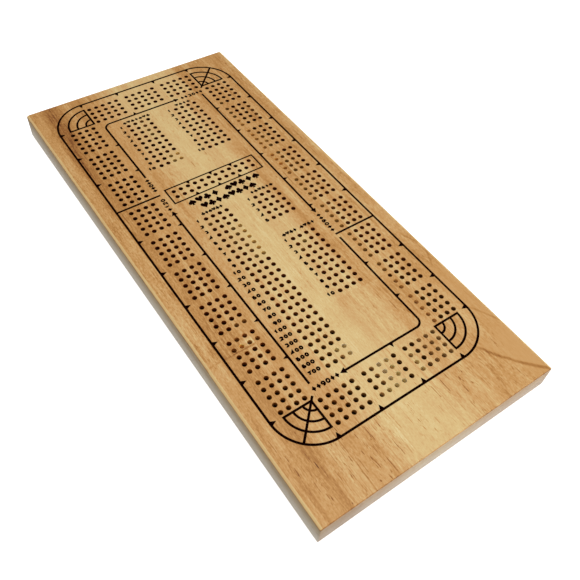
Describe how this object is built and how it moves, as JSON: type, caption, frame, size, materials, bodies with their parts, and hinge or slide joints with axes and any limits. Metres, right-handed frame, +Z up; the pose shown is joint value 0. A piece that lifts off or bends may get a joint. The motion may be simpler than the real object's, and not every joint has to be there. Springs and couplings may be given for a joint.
{
  "type": "cribbage board",
  "caption": "Flat wooden game board drilled with rows of peg holes for four tracks and score blocks, with a swivel-covered peg pocket underneath.",
  "frame": {"origin": "middle of the footprint at the level of the feet", "axes": "+Y along the board to the far end, +X to the right across it, +Z up out of the playing face"},
  "size_m": [0.186, 0.408, 0.023],
  "materials": {
    "wood_amber": "satin lacquer",
    "wood_tan": "satin lacquer",
    "wood_straw": "satin lacquer",
    "plated_steel": "brushed, bright zinc",
    "screw_steel": "bright zinc",
    "foot_rubber": "matt",
    "peg_red": "semi gloss",
    "peg_blue": "semi gloss",
    "peg_green": "semi gloss",
    "peg_natural": "semi gloss",
    "ink": "dull black printing ink"
  },
  "bodies": {
    "board": {"stave_left_outer_far": "wood_amber", "stave_left_outer_near": "wood_amber", "stave_left_inner": "wood_tan", "stave_centre": "wood_straw", "stave_right_inner_far": "wood_straw", "stave_right_inner_near": "wood_tan", "stave_right_outer": "wood_amber", "pivot_screw": "screw_steel", "keeper_screw": "screw_steel", "foot_near_left": "foot_rubber", "foot_near_right": "foot_rubber", "foot_far_left": "foot_rubber", "foot_far_right": "foot_rubber", "peg_red_1": "peg_red", "peg_blue_1": "peg_blue", "peg_green_1": "peg_green", "peg_natural_1": "peg_natural", "peg_red_2": "peg_red", "peg_blue_2": "peg_blue", "peg_green_2": "peg_green", "peg_natural_2": "peg_natural", "peg_red_3": "peg_red", "peg_blue_3": "peg_blue", "peg_green_3": "peg_green", "peg_natural_3": "peg_natural"},
    "cover": {"pocket_cover": "plated_steel"}
  },
  "joints": [
    {"name": "cover_swivel", "type": "hinge", "parent": "board", "child": "cover", "pos_m": [-0.0615, -0.185, 0.0025], "axis": [0, 0, -1], "range_deg": [0, 101]}
  ]
}
